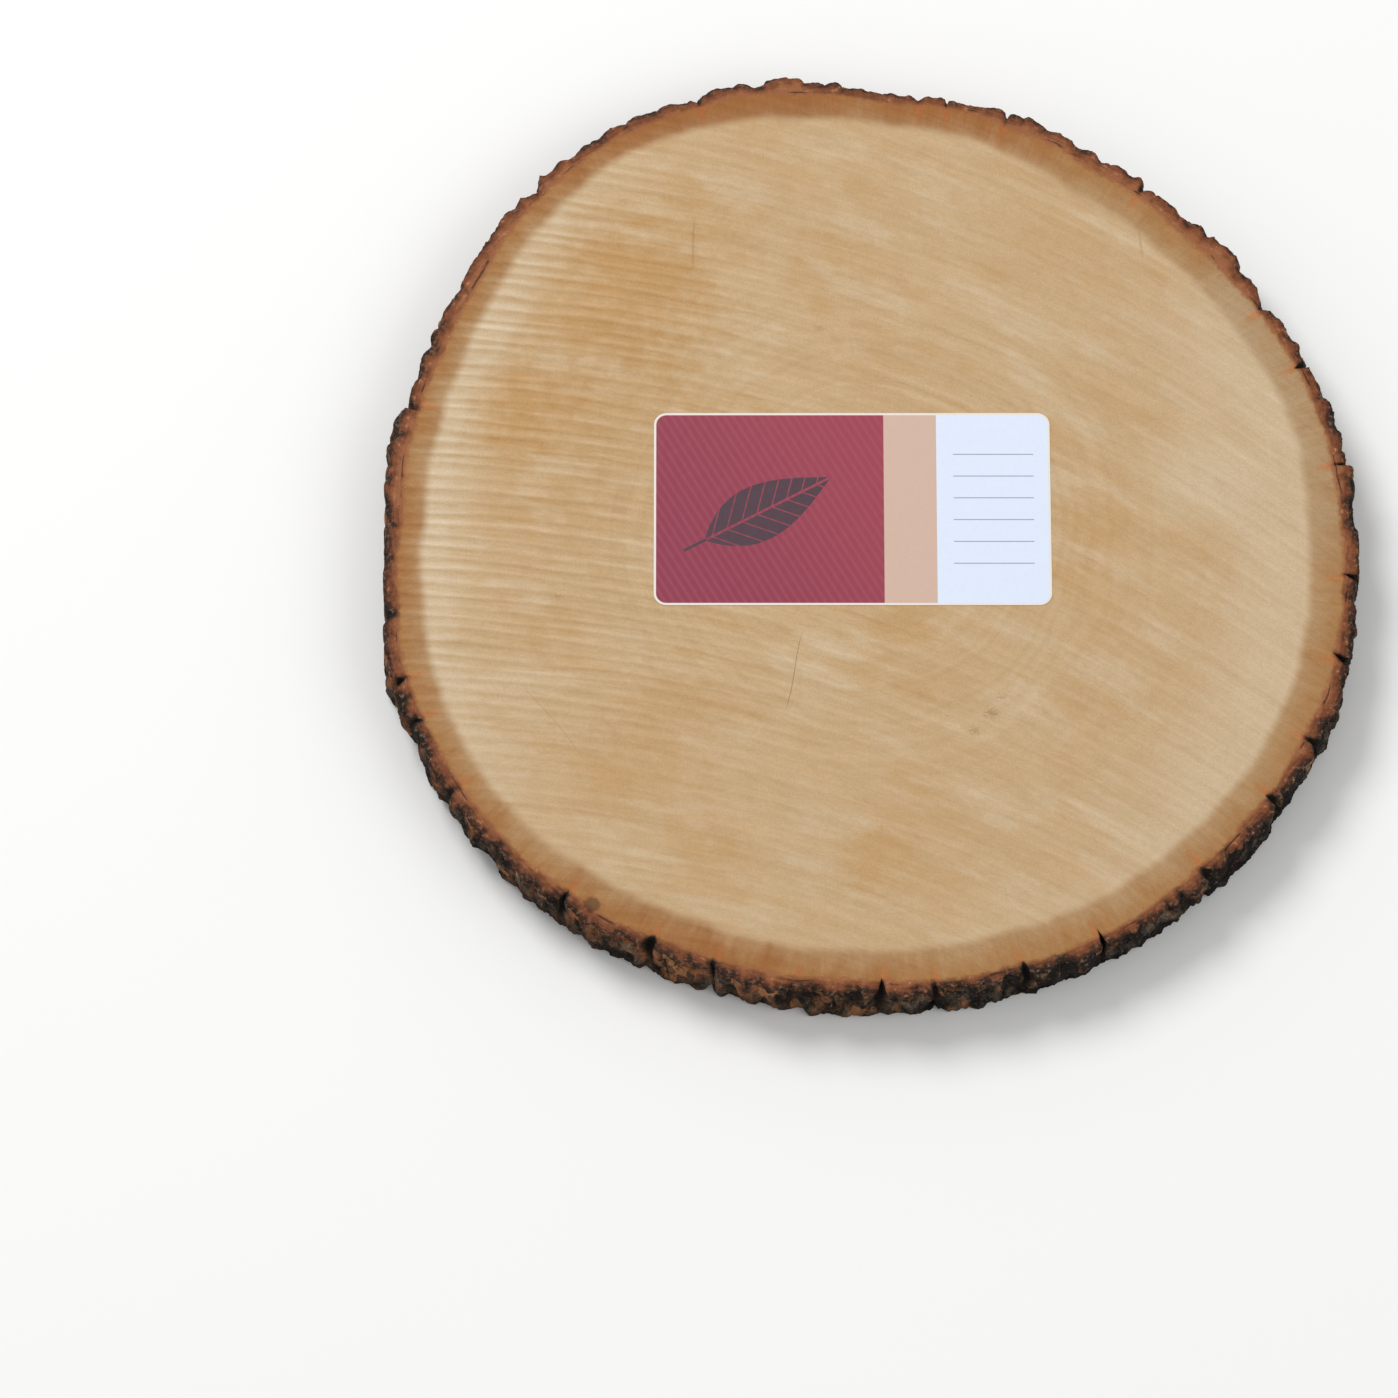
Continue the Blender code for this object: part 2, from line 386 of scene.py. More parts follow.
def dice_along_saw_marks(shape, face, side, row, cell):
    """Cut the inner cut face into rows that follow the blade's arcs, and those into cells."""
    for vert in face.verts:
        vert.co.y = saw_phase(side * vert.co.x / MM, vert.co.y / MM) * MM
    parts = dice(shape, [face, *face.edges, *face.verts], 1, row * MM)
    parts = dice(shape, parts, 0, cell * MM)
    for vert in parts:
        if isinstance(vert, bmesh.types.BMVert):
            vert.co.y -= saw_phase(side * vert.co.x / MM, 0.0) * MM


def make_blank():
    """A round blank with rings in its rim, rows up its wall and diced cut faces."""
    clear_selection()
    bpy.ops.mesh.primitive_cylinder_add(
        vertices=COLUMNS,
        radius=BLANK_RADIUS_MM * MM,
        depth=THICKNESS,
        end_fill_type="NGON",
        location=(0.0, 0.0, THICKNESS / 2.0),
    )
    blank = bpy.context.object
    bpy.ops.object.transform_apply(location=True, rotation=True, scale=True)
    bpy.ops.object.mode_set(mode="EDIT")
    bpy.ops.mesh.select_mode(type="EDGE")
    bpy.ops.mesh.select_all(action="DESELECT")
    shape = bmesh.from_edit_mesh(blank.data)
    for edge in shape.edges:
        edge.select_set(abs(edge.verts[0].co.z - edge.verts[1].co.z) > THICKNESS / 2.0)
    bpy.ops.mesh.subdivide(number_cuts=WALL_CUTS)
    bpy.ops.mesh.select_mode(type="FACE")
    for up, rings in ((1.0, UPPER_RIM_RINGS_MM), (-1.0, LOWER_RIM_RINGS_MM)):
        bpy.ops.mesh.select_all(action="DESELECT")
        shape = bmesh.from_edit_mesh(blank.data)
        for part in shape.faces:
            part.select_set(part.normal.z * up > 0.9)
        for width in rings:
            bpy.ops.mesh.inset(thickness=width * MM)
    shape = bmesh.from_edit_mesh(blank.data)
    caps = [part for part in shape.faces if len(part.verts) == COLUMNS]
    caps.sort(key=lambda part: part.calc_center_median().z)
    dice_along_saw_marks(shape, caps[0], -1.0, LOWER_ROW_MM, LOWER_CELL_MM)
    dice_along_saw_marks(shape, caps[1], 1.0, UPPER_ROW_MM, UPPER_CELL_MM)
    bmesh.update_edit_mesh(blank.data)
    bpy.ops.object.mode_set(mode="OBJECT")
    return blank


def add_reading(mesh, name, values):
    """Keep one number for each vertex, for the materials to read."""
    mesh.attributes.new(name, "FLOAT", "POINT").data.foreach_set("value", values.astype(np.float32))


def add_ring_readings(mesh, angle, radius):
    """Keep how far each place is past both rings of the bark, and how orange it is there."""
    turn = np.radians(angle)
    waver = np.array([
        noise.noise(Vector((c * 9.0, s * 9.0, 1.0))) for c, s in zip(np.cos(turn), np.sin(turn))
    ])
    inner_start = round_curve(CAMBIUM_MM, angle) + CAMBIUM_WAVER_MM * waver
    outer_start = round_curve(OUTER_BARK_MM, angle) + OUTER_BARK_WAVER_MM * waver
    add_reading(mesh, "past_cambium", radius - inner_start)
    add_reading(mesh, "past_inner_bark", radius - outer_start)
    add_reading(mesh, "near_furrow", flame_share(angle))
    add_reading(mesh, "warmth", round_curve(INNER_BARK_WARMTH, angle))


def crumble(x, y, edge, height):
    """How far the crumbled rims of both cut faces move up or down in mm."""
    chip = np.array([
        noise.fractal(Vector((px * 0.3, py * 0.3, 3.0)), 0.8, 2.0, 3) for px, py in zip(x, y)
    ])
    loss = CRUMBLE_MM * np.clip(0.3 + 0.9 * chip, 0.06, 1.0) * np.exp(-edge / CRUMBLE_REACH_MM)
    reach = 1.0 - CRUMBLE_FROM_HEIGHT
    near_top = smooth_step((height - CRUMBLE_FROM_HEIGHT) / reach)
    near_base = smooth_step((reach - height) / reach)
    return loss * near_base - loss * near_top


def bark_outline(angle, height, in_rim):
    """The slice's radius all round, the grain of its bark and how far furrows cut in."""
    plate, cut_in = plate_surface(leaning_angle(ragged_angle(angle, height), height), height)
    taper = EDGE_TAPER_MM * (1.0 - np.sin(math.pi * np.clip(height, 0.0, 1.0)))
    far_side = 0.5 + 0.5 * np.cos(np.radians(angle - FAR_SIDE_DEG))
    scaly = np.zeros_like(angle)
    scaly[in_rim] = scaly_relief(angle[in_rim], height[in_rim])
    on_plates = FURROW_CALM + (1.0 - FURROW_CALM) * np.exp(-np.maximum(cut_in, 0.0))
    scaly *= (1.0 - CALM_SHARE * far_side) * on_plates
    lift = FAR_LIFT_MM * smooth_step(2.0 * far_side)
    return plate - taper + roughness(angle, height) + scaly + lift, scaly, cut_in


def build_slice():
    """Shape the blank into the slice: bark, furrows, crumbled rims and saw marks."""
    piece = make_blank()
    piece.name = "sawn_slice"
    mesh = piece.data
    places = np.empty(len(mesh.vertices) * 3)
    mesh.vertices.foreach_get("co", places)
    x, y, z = places.reshape(-1, 3).T / MM
    blank_radius = np.hypot(x, y)
    angle = np.degrees(np.arctan2(y, x)) % FULL_TURN
    height = z / (THICKNESS / MM)
    in_rim = blank_radius > CORE_RADIUS_MM + NEARLY_MM
    on_wall = blank_radius > BLANK_RADIUS_MM - NEARLY_MM
    outline, scaly, cut_in = bark_outline(angle, height, in_rim)
    rim_width = BLANK_RADIUS_MM - CORE_RADIUS_MM
    reach = np.clip((blank_radius - CORE_RADIUS_MM) / rim_width, 0.0, 1.0)
    shaped = CORE_RADIUS_MM + reach * (outline - CORE_RADIUS_MM)
    radius = np.where(in_rim, shaped, blank_radius)
    angle = angle + np.where(in_rim, furrow_slant(angle, height, radius), 0.0)
    turn = np.radians(angle)
    x = keep_between(radius * np.cos(turn), SLICE_LOW.x - PITH.x, SLICE_HIGH.x - PITH.x)
    y = keep_between(radius * np.sin(turn), SLICE_LOW.y - PITH.y, SLICE_HIGH.y - PITH.y)
    edge = outline - radius
    z = z + crumble(x, y, edge, height)
    z = np.where(height > 1.0 - NEARLY_SHARE, z - saw_relief(x, y, UPPER_SAW_SEED), z)
    z = np.where(height < NEARLY_SHARE, z + saw_relief(-x, y, LOWER_SAW_SEED), z)
    mesh.vertices.foreach_set("co", (np.stack([x, y, z], 1) * MM).ravel())
    add_ring_readings(mesh, angle, radius)
    add_reading(mesh, "from_edge", edge)
    add_reading(mesh, "cut_in", np.where(on_wall, cut_in, cut_in * reach))
    add_reading(mesh, "scaly", scaly)
    mesh.update()
    mesh.materials.append(sawn_face_material())
    mesh.materials.append(bark_material())
    wall = [abs(face.normal.z) < 0.7 and on_wall[face.vertices[0]] for face in mesh.polygons]
    mesh.polygons.foreach_set("material_index", np.array(wall).astype(np.int32))
    piece.location = PITH
    settle(piece, "wood_slice")
    bpy.ops.object.shade_smooth_by_angle(angle=math.radians(SLICE_SMOOTH_DEG))


def settle(piece, node):
    """Bring the piece's place into its mesh, hang it under the root body and hide the node that it
    stands for.
    """
    clear_selection()
    piece.select_set(True)
    bpy.context.view_layer.objects.active = piece
    bpy.ops.object.transform_apply(location=True, rotation=True, scale=True)
    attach(piece, "root")
    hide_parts(node)


def paint(red, green, blue):
    """A colour in the shader's own units from its 0 to 255 values."""
    def undo(value):
        share = value / 255.0
        return share / 12.92 if share <= 0.04045 else ((share + 0.055) / 1.055) ** 2.4
    return (undo(red), undo(green), undo(blue), 1.0)


class Finish:
    """One material's node tree, with short hands for the nodes that it is made of."""

    def __init__(self, name):
        self.material = bpy.data.materials.new(name)
        self.material.use_nodes = True
        self.tree = self.material.node_tree
        self.shader = self.tree.nodes["Principled BSDF"]
        coordinates = self.node("ShaderNodeTexCoord")
        self.place = self.vector("SCALE", coordinates.outputs["Object"], scale=1.0 / MM)

    def node(self, kind, **settings):
        made = self.tree.nodes.new(kind)
        for name, value in settings.items():
            setattr(made, name, value)
        return made

    def put(self, socket, value):
        if isinstance(value, bpy.types.NodeSocket):
            self.tree.links.new(value, socket)
        else:
            socket.default_value = value

    def math(self, operation, first, second=0.0, third=0.0, clamp=False):
        made = self.node("ShaderNodeMath", operation=operation, use_clamp=clamp)
        for socket, value in zip(made.inputs, (first, second, third)):
            self.put(socket, value)
        return made.outputs[0]

    def times(self, first, second, clamp=False):
        return self.math("MULTIPLY", first, second, clamp=clamp)

    def sway(self, value, pattern, amount):
        """The value, raised where a 0 to 1 pattern is high and lowered where it is low."""
        return self.math("MULTIPLY_ADD", self.math("SUBTRACT", pattern, 0.5), amount, value)

    def vector(self, operation, first, second=(0.0, 0.0, 0.0), scale=1.0):
        made = self.node("ShaderNodeVectorMath", operation=operation)
        self.put(made.inputs[0], first)
        self.put(made.inputs[1], second)
        self.put(made.inputs[3], scale)
        return made.outputs[1 if operation in ("LENGTH", "DISTANCE") else 0]

    def split(self, vector):
        made = self.node("ShaderNodeSeparateXYZ")
        self.put(made.inputs[0], vector)
        return made.outputs

    def join(self, x, y, z=0.0):
        made = self.node("ShaderNodeCombineXYZ")
        for socket, value in zip(made.inputs, (x, y, z)):
            self.put(socket, value)
        return made.outputs[0]

    def reading(self, name):
        return self.node("ShaderNodeAttribute", attribute_name=name).outputs["Fac"]

    def ease(self, value, low, high, start=0.0, end=1.0):
        """From start to end as the value goes from low to high, smoothly and no further."""
        made = self.node("ShaderNodeMapRange", interpolation_type="SMOOTHSTEP")
        for socket, number in zip(made.inputs, (value, low, high, start, end)):
            self.put(socket, number)
        return made.outputs[0]

    def noise(self, vector, scale, detail=3.0, rough=0.5, twist=0.0):
        made = self.node("ShaderNodeTexNoise")
        names = ("Vector", "Scale", "Detail", "Roughness", "Distortion")
        for name, value in zip(names, (vector, scale, detail, rough, twist)):
            self.put(made.inputs[name], value)
        return made.outputs["Fac"]

    def cells(self, vector, scale, output="Distance"):
        made = self.node("ShaderNodeTexVoronoi")
        self.put(made.inputs["Vector"], vector)
        self.put(made.inputs["Scale"], scale)
        return made.outputs[output]

    def mix(self, share, first, second, blend="MIX"):
        made = self.node("ShaderNodeMix", data_type="RGBA", blend_type=blend, clamp_factor=True)
        for index, value in ((0, share), (6, first), (7, second)):
            self.put(made.inputs[index], value)
        return made.outputs[2]

    def brighten(self, colour, factor):
        return self.vector("SCALE", colour, scale=factor)

    def bump(self, height, distance):
        """Relief of this distance in mm, where the height is 1."""
        made = self.node("ShaderNodeBump")
        self.put(made.inputs["Height"], height)
        self.put(made.inputs["Distance"], distance * MM)
        return made.outputs[0]

    def finish(self, colour, roughness, normal=None, **values):
        self.put(self.shader.inputs["Base Color"], colour)
        self.put(self.shader.inputs["Roughness"], roughness)
        if normal is not None:
            self.put(self.shader.inputs["Normal"], normal)
        for name, value in values.items():
            self.shader.inputs[name.replace("_", " ")].default_value = value
        return self.material


# The colours of wood and bark
WOOD = paint(196, 166, 126)
WOOD_CREAM = paint(205, 182, 150)
WOOD_MILKY = paint(216, 198, 170)
WOOD_WARM = paint(187, 143, 89)
WOOD_LINE = paint(164, 122, 78)
INNER_BARK_PALE = paint(175, 140, 100)
INNER_BARK_FADED = paint(181, 157, 124)
INNER_BARK_DEEP = paint(163, 121, 77)
INNER_BARK_ORANGE = paint(169, 116, 62)
INNER_BARK_STAIN = (0.84, 0.71, 0.64, 1.0)
FLAME = paint(182, 112, 62)
OUTER_BARK_RED = paint(150, 95, 61)
OUTER_BARK_BROWN = paint(116, 66, 39)
OUTER_BARK_PALE = paint(188, 134, 98)
OUTER_BARK_DARK = paint(62, 38, 26)
CHAR = paint(25, 19, 15)
BARK_BROWN = paint(104, 73, 50)
BARK_RED = paint(150, 92, 58)
BARK_GREY = paint(100, 94, 78)
BARK_FLECK = paint(160, 132, 106)
BARK_CHIP = paint(172, 118, 76)
HAIRLINE = paint(116, 76, 48)
SAW_TINT = (0.75, 1.0, 1.5)

# Places on the cut face in mm from the pith. Pools and spots: x, y, reach and strength.
# Hairline cracks: x and y of both ends, width and strength
WARM_POOLS = (
    (-58.0, 62.0, 24.0, 0.75), (-83.0, 31.0, 15.0, 0.75), (-46.0, -41.0, 12.0, 0.35),
    (-60.0, -60.0, 11.0, 0.35), (2.0, -80.0, 10.0, 0.45),
)
HAIRLINES = (
    (-16.0, -23.3, -20.7, -46.2, 0.14, 0.6),
    (-41.5, 82.0, -42.5, 66.0, 0.45, 0.2),
    (64.8, 82.0, 65.5, 69.0, 0.45, 0.2),
    (-83.5, -36.0, -66.0, -58.0, 0.1, 0.35),
    (65.3, 87.3, 62.0, 82.5, 0.35, 0.6),
)
SPOTS = (
    (28.0, -45.0, 1.1, 0.36), (24.0, -49.5, 0.9, 0.28), (30.5, -41.0, 0.8, 0.2),
    (-36.0, 45.0, 0.8, 0.2), (-12.0, 52.0, 0.9, 0.2), (-74.0, -16.0, 0.7, 0.2),
)
KNOT_MM = (-65.6, -92.0, 0.0)
CREAM_PATCH_MM = (84.0, 14.0)
RING_MIDDLE_MM = 66.0
OVAL_SQUEEZE = 0.6

# Patterns drawn out along the blade marks: their length and width in mm
UNEVEN_MM = (45.0, 8.0)
STREAK_MM = (6.5, 0.9)
BAND_MM = (40.0, 3.6)
STROKE_MM = (15.0, 3.0)
PATCH_MM = (24.0, 9.0)
FIBRE_MM = (3.0, 0.35)


class SawnFinish(Finish):
    """The cut face's finish, with the places and patterns that its zones share."""

    def __init__(self):
        super().__init__("sawn_wood")
        place = self.vector("SUBTRACT", self.place, tuple(PITH / MM))
        self.x, self.y, z = self.split(place)
        self.flat = self.join(self.x, self.y)
        self.from_pith = self.vector("LENGTH", self.flat)
        waver = self.noise(self.flat, 0.03, 2.0)
        self.rings = self.math("MULTIPLY_ADD", waver, 9.0, self.from_pith)
        self.on_top = self.math("GREATER_THAN", z, THICKNESS / MM / 2.0)
        self.past_cambium = self.reading("past_cambium")
        self.past_inner = self.reading("past_inner_bark")
        self.from_edge = self.reading("from_edge")
        self.grain = self.noise(self.flat, 2.2, 3.0, 0.7)
        self.mottle = self.noise(self.flat, 0.22, 3.0, 0.6)
        self.blotch = self.noise(self.flat, 0.45, 4.0, 0.65)

        # Along and across the blade marks, which run the other way on the underside
        self.saw_x = self.times(self.x, self.math("MULTIPLY_ADD", self.on_top, 2.0, -1.0))
        run = self.math("SUBTRACT", self.saw_x, BLADE_MIDDLE_X_MM)
        arc = self.math("SQRT", self.math("SUBTRACT", BLADE_RADIUS_MM ** 2, self.times(run, run)))
        self.feed = self.math("SUBTRACT", self.y, arc)
        self.band = self.along_marks(BAND_MM, 0.0, 2.0)
        self.strokes = self.along_marks(STROKE_MM, 9.0, 3.0, 0.6)
        uneven = self.along_marks(UNEVEN_MM, self.on_top, 2.0)
        pitch = 2.0 * math.pi / SAW_FEED_MM
        self.turn = self.math("MULTIPLY_ADD", self.feed, pitch, self.times(uneven, 9.0))
        fading = self.ease(self.strokes, 0.34, 0.62, 0.3, 1.25)
        # The wave across the blade marks: their own tone, with painted shade and highlight of their
        # ridges
        self.wave = self.times(self.math("SINE", self.turn), fading)

        # Round the slice and outwards, for the layers of the bark
        self.around = self.vector(
            "SCALE", self.vector("NORMALIZE", self.flat), scale=BLANK_RADIUS_MM
        )
        self.around_x, self.around_y, _ = self.split(self.around)
        self.rays = self.round_slice(0.12, 0.9, 0.6)
        self.patches = self.round_slice(0.5, 0.16, 0.6)
        self.layers = self.round_slice(7.0, 0.22, 0.65)

    def along_marks(self, size, z, detail, rough=0.5):
        """Noise drawn out along the blade marks, of this length and width in mm."""
        length, width = size
        along = self.math("DIVIDE", self.saw_x, length)
        across = self.math("DIVIDE", self.feed, width)
        return self.noise(self.join(along, across, z), 1.0, detail, rough)

    def round_slice(self, stretch, scale, rough):
        """Noise laid round the slice. The stretch is how fast it changes outwards."""
        outwards = self.times(self.from_pith, stretch)
        return self.noise(self.join(self.around_x, self.around_y, outwards), scale, 3.0, rough)


def blade_marks_and_shade(f):
    """Light and dark streaks that follow the saw's arcs, strong at the left: the marks' own tone,
    with painted shade and highlight on the slopes of their ridges.
    """
    at_left = f.ease(f.saw_x, 5.0, -70.0)
    at_left = f.times(at_left, f.ease(f.y, -62.0, -22.0, 0.25, 1.0))
    at_left = f.times(at_left, f.ease(f.y, 95.0, 60.0, 0.5, 1.0))
    near_bark = f.ease(f.past_cambium, -26.0, -4.0, 1.0, 1.5)
    strength = f.math("MULTIPLY_ADD", f.times(at_left, near_bark), 0.05, 0.02)
    # Painted shade and highlight of the ridges, laid over the marks' own tone
    marks_and_shade = f.times(f.wave, strength)
    fine_wave = f.math("SINE", f.times(f.turn, 2.0))
    fine_strength = f.math("MULTIPLY_ADD", at_left, 0.02, 0.008)
    marks_and_shade = f.math("MULTIPLY_ADD", fine_wave, fine_strength, marks_and_shade)
    streaks = f.math("SUBTRACT", f.along_marks(STREAK_MM, 0.0, 4.0, 0.65), 0.5)
    streaks = f.times(streaks, f.math("MULTIPLY_ADD", at_left, 0.1, 0.2))
    bands = f.times(f.math("SUBTRACT", f.band, 0.5), 0.24)
    marks_and_shade = f.math("ADD", f.math("ADD", marks_and_shade, streaks), bands)
    marks_and_shade = f.sway(marks_and_shade, f.mottle, 0.16)
    marks_and_shade = f.sway(marks_and_shade, f.noise(f.flat, 0.85, 3.0, 0.65), 0.2)
    ring_tone = f.math("SUBTRACT", f.noise(f.join(f.rings, 7.0), 0.42, 3.0, 0.6), 0.5)
    ring_tone = f.times(ring_tone, f.ease(f.from_pith, 78.0, 40.0, 0.06, 0.34))
    return f.math("ADD", marks_and_shade, ring_tone)


def cut_wood(f, marks_and_shade):
    """Wood that is cream near the bark, with warm pools, faint rings, cracks and painted sparkle.
    """
    cloud = f.noise(f.flat, 0.03, 4.0, 0.55, 0.6)
    patchy = f.along_marks(PATCH_MM, 5.0, 4.0, 0.6)
    colour = f.mix(f.ease(cloud, 0.4, 0.72, 0.0, 0.45), WOOD, WOOD_WARM)
    colour = f.mix(f.ease(patchy, 0.5, 0.66, 0.0, 0.5), colour, WOOD_CREAM)
    colour = f.mix(f.ease(patchy, 0.47, 0.34, 0.0, 0.25), colour, WOOD_WARM)
    colour = f.mix(f.ease(f.strokes, 0.5, 0.7, 0.0, 0.22), colour, WOOD_CREAM)
    for pool_x, pool_y, reach, strength in WARM_POOLS:
        gap = f.vector("DISTANCE", f.flat, (pool_x, pool_y, 0.0))
        gap = f.sway(gap, f.band, reach * 1.6)
        gap = f.sway(gap, f.mottle, reach * 1.2)
        colour = f.mix(f.ease(gap, reach * 1.3, reach * 0.1, 0.0, strength), colour, WOOD_WARM)
    colour = f.mix(cream_share(f, cloud), colour, WOOD_CREAM)
    colour = f.mix(milky_share(f), colour, WOOD_MILKY)
    colour = f.mix(ring_share(f), colour, WOOD_LINE)
    speck = f.times(f.ease(f.cells(f.flat, 0.9), 0.14, 0.05), f.ease(f.mottle, 0.5, 0.6))
    colour = f.mix(f.times(speck, 0.45), colour, WOOD_LINE)
    for hairline in HAIRLINES:
        shown = f.times(hairline_share(f, *hairline), f.on_top)
        colour = f.mix(shown, colour, HAIRLINE)
    for spot_x, spot_y, reach, strength in SPOTS:
        gap = f.sway(oval_gap(f, spot_x, spot_y), f.grain, reach * 4.0)
        shown = f.times(f.ease(gap, reach * 1.2, reach * 0.2, 0.0, strength), f.on_top)
        colour = f.mix(shown, colour, HAIRLINE)
    # Painted sparkle: pale specks scattered over the cut face
    painted_sparkle = f.times(f.ease(f.cells(f.flat, 0.5), 0.1, 0.04), f.ease(f.grain, 0.48, 0.56))
    colour = f.mix(f.times(painted_sparkle, 0.5), colour, WOOD_MILKY)
    return f.brighten(saw_tinted_and_shaded(f, colour, marks_and_shade), f.sway(1.0, f.grain, 0.42))


def oval_gap(f, x, y):
    """Distance in mm from a place on the face, less along X, so that spots are ovals."""
    squeezed = f.vector("MULTIPLY", f.flat, (OVAL_SQUEEZE, 1.0, 1.0))
    return f.vector("DISTANCE", squeezed, (x * OVAL_SQUEEZE, y, 0.0))


def cream_share(f, cloud):
    """How cream the wood is: near the bark at both sides, and in a patch at the right."""
    near_bark = f.sway(f.past_cambium, cloud, 30.0)
    left = f.times(f.ease(f.x, -62.0, -98.0, 0.1, 0.6), f.ease(near_bark, -16.0, 0.0))
    right = f.times(f.ease(f.x, 20.0, 85.0, 0.0, 0.75), f.ease(near_bark, -32.0, -3.0))
    right = f.times(right, f.ease(f.y, 78.0, 40.0))
    patch = f.sway(oval_gap(f, *CREAM_PATCH_MM), f.mottle, 16.0)
    right = f.math("MAXIMUM", right, f.ease(patch, 17.0, 3.0, 0.0, 0.85))
    return f.math("MAXIMUM", left, right)


def milky_share(f):
    """How much shows of a milky band just inside the bark, at the left."""
    share = f.times(f.ease(f.past_cambium, -14.0, -2.0), f.ease(f.x, -40.0, -85.0, 0.0, 0.3))
    share = f.times(share, f.ease(f.y, -65.0, -10.0, 0.2, 1.0))
    return f.times(share, f.ease(f.wave, -0.6, 0.9, 0.4, 1.2))


def ring_share(f):
    """How much shows of the growth rings: little, and most about halfway out."""
    line = f.ease(f.noise(f.join(f.rings, 0.0), 0.21, 2.0, 0.5), 0.5, 0.66)
    off_middle = f.math("ABSOLUTE", f.math("SUBTRACT", f.rings, RING_MIDDLE_MM))
    share = f.ease(f.noise(f.flat, 0.04, 2.0), 0.4, 0.65, 0.02, 0.14)
    share = f.times(share, f.ease(off_middle, 26.0, 6.0, 0.15, 1.0))
    return f.times(line, share)


def cut_inner_bark(f, marks_and_shade):
    """Mottled inner bark, faintly streaked outwards, where it is deeper and more orange."""
    warm = f.reading("warmth")
    across = f.math("SUBTRACT", f.past_cambium, f.past_inner)
    depth_share = f.math("DIVIDE", f.past_cambium, across)
    deepen = f.sway(depth_share, f.patches, 1.4)
    colour = f.mix(f.ease(deepen, 0.0, 1.0), INNER_BARK_PALE, INNER_BARK_DEEP)
    colour = f.mix(f.ease(warm, 0.34, 0.12, 0.0, 0.5), colour, INNER_BARK_FADED)
    orange = f.sway(warm, f.patches, 1.2)
    orange = f.times(orange, f.ease(depth_share, -0.1, 0.9, 0.2, 0.75), clamp=True)
    rim_glow = f.ease(f.sway(f.past_inner, f.patches, 5.0), -1.8, 0.4, 0.0, 0.6)
    colour = f.mix(f.math("MAXIMUM", orange, rim_glow), colour, INNER_BARK_ORANGE)
    flame = f.sway(f.reading("near_furrow"), f.rays, 0.7)
    flame = f.math("MULTIPLY_ADD", f.past_inner, 0.06, flame)
    glow = f.times(f.ease(flame, 0.25, 0.8), f.ease(f.past_inner, -6.5, -1.5, 0.0, 0.6))
    colour = f.mix(glow, colour, FLAME)
    redden = f.sway(warm, f.patches, 0.8)
    colour = f.mix(f.ease(redden, 0.4, 1.0), colour, INNER_BARK_STAIN, "MULTIPLY")
    shade = f.sway(1.0, f.rays, 0.28)
    shade = f.sway(shade, f.grain, 0.45)
    return saw_tinted_and_shaded(f, f.brighten(colour, shade), marks_and_shade)


def cut_outer_bark(f):
    """Chestnut layers, ever darker towards the rim, with pale crumbs and char."""
    inwards = f.sway(f.from_edge, f.blotch, 5.0)
    inwards = f.sway(inwards, f.layers, 4.0)
    stain = f.noise(f.join(f.around_x, f.around_y), 0.09, 3.0, 0.6)
    inwards = f.sway(inwards, stain, 5.0)
    inwards = f.math("ADD", inwards, f.ease(f.y, 0.0, 85.0, 0.0, 0.8))
    colour = f.mix(f.ease(inwards, 4.2, 1.8), OUTER_BARK_RED, OUTER_BARK_BROWN)
    colour = f.mix(f.ease(inwards, 2.1, 0.5), colour, OUTER_BARK_DARK)
    colour = f.mix(f.ease(inwards, 0.6, -0.8), colour, CHAR)
    crumbs = f.times(f.ease(f.blotch, 0.58, 0.68), f.ease(f.layers, 0.45, 0.6))
    colour = f.mix(f.times(crumbs, 0.65), colour, OUTER_BARK_PALE)
    lichen = f.ease(f.noise(f.flat, 0.9, 3.0, 0.6), 0.52, 0.64)
    lichen = f.times(lichen, f.ease(inwards, 2.6, 0.6))
    colour = f.mix(f.times(lichen, 0.3), colour, BARK_FLECK)
    return f.brighten(colour, f.sway(1.0, f.grain, 0.7))


def sawn_face_material():
    """Cut wood with its rings and saw marks, the inner bark round it and the outer bark."""
    f = SawnFinish()
    # The saw marks' tone, with painted shade and highlight on their ridges
    marks_and_shade = blade_marks_and_shade(f)
    cambium_line = f.sway(f.past_cambium, f.grain, 0.8)
    cambium_line = f.sway(cambium_line, f.patches, 1.2)
    in_bark = f.ease(cambium_line, -1.5, 1.4)
    colour = f.mix(in_bark, cut_wood(f, marks_and_shade), cut_inner_bark(f, marks_and_shade))
    bark_line = f.sway(f.past_inner, f.blotch, 3.4)
    colour = f.mix(f.ease(bark_line, -1.1, 0.3), colour, cut_outer_bark(f))
    gap_line = f.sway(f.past_inner, f.layers, 1.6)
    gap_line = f.ease(f.math("ABSOLUTE", f.math("SUBTRACT", gap_line, 0.5)), 0.3, 0.1)
    gap_line = f.times(gap_line, f.ease(f.noise(f.around, 0.09, 2.0), 0.56, 0.62))
    colour = f.mix(f.times(gap_line, 0.7), colour, CHAR)
    knot = f.sway(f.vector("DISTANCE", f.flat, KNOT_MM), f.blotch, 3.0)
    colour = f.mix(f.ease(knot, 2.6, 1.2, 0.0, 0.62), colour, OUTER_BARK_DARK)
    in_furrow = f.times(f.ease(f.reading("cut_in"), 0.7, 1.8), f.ease(f.from_edge, 1.1, 0.2))
    colour = f.mix(in_furrow, colour, CHAR)
    fibre = f.along_marks(FIBRE_MM, 0.0, 3.0, 0.7)
    rough_height = f.math("MULTIPLY_ADD", f.grain, 0.5, f.times(fibre, 0.5))
    normal = f.bump(rough_height, 0.12)
    return f.finish(colour, roughness=0.66, normal=normal, Specular_IOR_Level=0.18)


def saw_tinted_and_shaded(f, colour, marks_and_shade):
    """The colour under the blade marks and their painted shade and highlight, which lighten blue
    more than red.
    """
    factor = f.vector("ADD", (1.0, 1.0, 1.0), f.vector("SCALE", SAW_TINT, scale=marks_and_shade))
    return f.vector("MULTIPLY", colour, factor)


